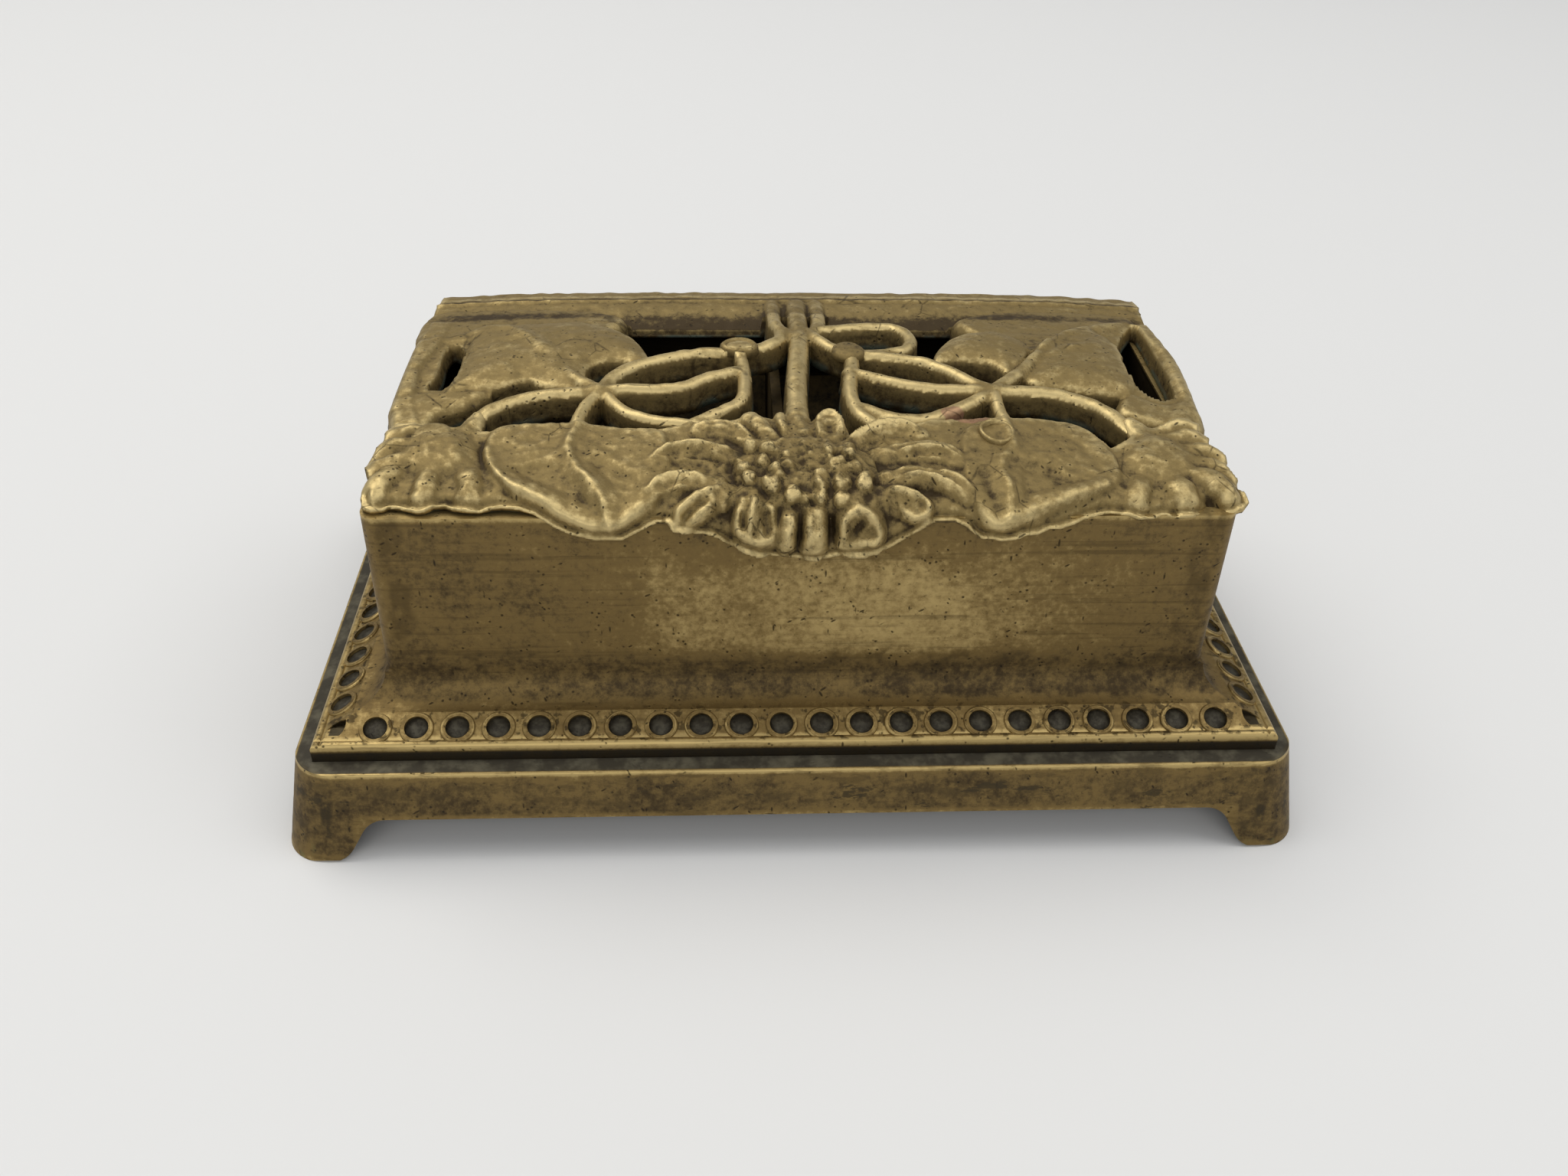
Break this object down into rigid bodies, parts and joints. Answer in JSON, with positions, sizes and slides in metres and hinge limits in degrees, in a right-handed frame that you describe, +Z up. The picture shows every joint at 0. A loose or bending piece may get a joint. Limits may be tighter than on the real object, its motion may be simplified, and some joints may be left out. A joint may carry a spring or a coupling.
{
  "type": "stamp box",
  "caption": "Footed cast brass stamp box: straight-walled body with a sunk bead border on a bracket-foot plinth, divider, scooped trays and a hinged openwork lid of stems, leaves and flowers.",
  "frame": {"origin": "centre of the plinth's footprint on the table", "axes": "+X to the viewer's right along the box, +Y to the hinge side at the back, +Z up"},
  "size_m": [0.096, 0.0608, 0.0356],
  "materials": {
    "plinth_brass": "aged, rubbed at the arris",
    "body_brass": "aged and brushed, dark in the sunk beads",
    "lid_brass": "aged, dark in the hollows",
    "plug_brass": "aged, smooth",
    "inner_brass": "dull, darkened",
    "hinge_brass": "dull, darkened",
    "screw_brass": "dull, darkened"
  },
  "bodies": {
    "box": {"plinth": "plinth_brass", "body": "body_brass", "divider": "inner_brass", "left_tray": "inner_brass", "right_tray": "inner_brass", "body_hinge_leaf": "hinge_brass", "hinge_pin": "hinge_brass", "base_screws": "screw_brass"},
    "lid": {"lid": "lid_brass", "lid_plugs": "plug_brass", "lid_hinge_leaf": "hinge_brass"}
  },
  "joints": [
    {"name": "lid_hinge", "type": "hinge", "parent": "box", "child": "lid", "pos_m": [0, 0.02175, 0.03105], "axis": [-1, 0, 0], "range_deg": [0, 103]}
  ]
}
